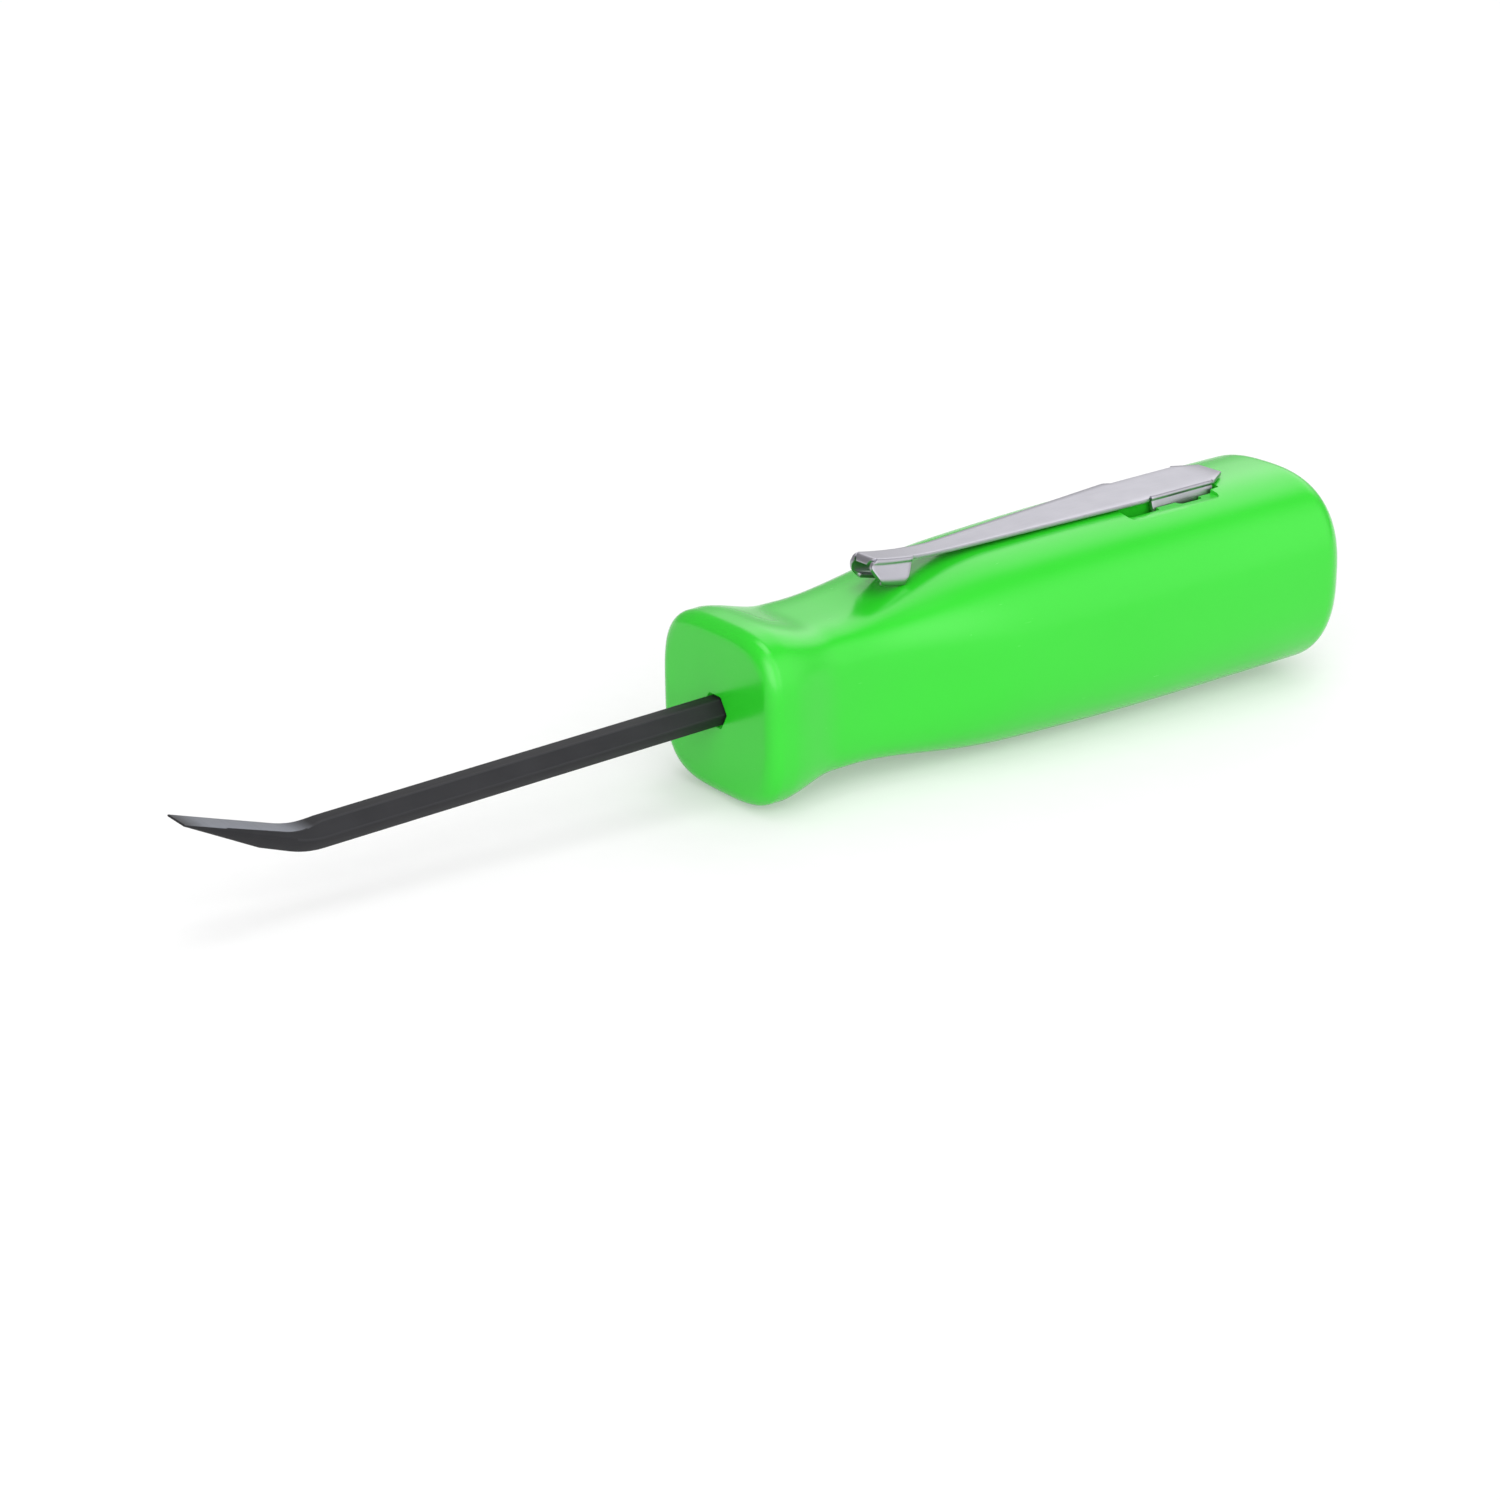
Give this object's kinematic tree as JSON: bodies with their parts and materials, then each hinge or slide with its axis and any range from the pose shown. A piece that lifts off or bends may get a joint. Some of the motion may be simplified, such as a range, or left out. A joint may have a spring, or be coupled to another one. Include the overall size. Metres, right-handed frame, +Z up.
{
  "type": "pocket pry bar",
  "caption": "Short hexagonal pry bar with a bent chisel tip, a necked rounded-square handle and a sprung pocket clip on top.",
  "frame": {"origin": "middle of the bounding box, on the plane that the tool lies on", "axes": "+X from the chisel tip towards the butt of the handle, +Z up, to the clip's side, as the tool lies on a bench"},
  "size_m": [0.1396, 0.0228, 0.0233],
  "materials": {
    "handle_plastic": "glossy bright green",
    "blade_steel": "satin black oxide",
    "clip_steel": "satin nickel plate"
  },
  "bodies": {
    "handle": {"handle": "handle_plastic", "pry_blade": "blade_steel"},
    "clip": {"pocket_clip": "clip_steel"}
  },
  "joints": [
    {"name": "clip_flex", "type": "hinge", "parent": "handle", "child": "clip", "pos_m": [0.05355, 0, 0.02303], "axis": [0, 1, 0], "range_deg": [0, 3], "stiffness_Nm_per_rad": 1.1, "springref_deg": -1.15}
  ]
}
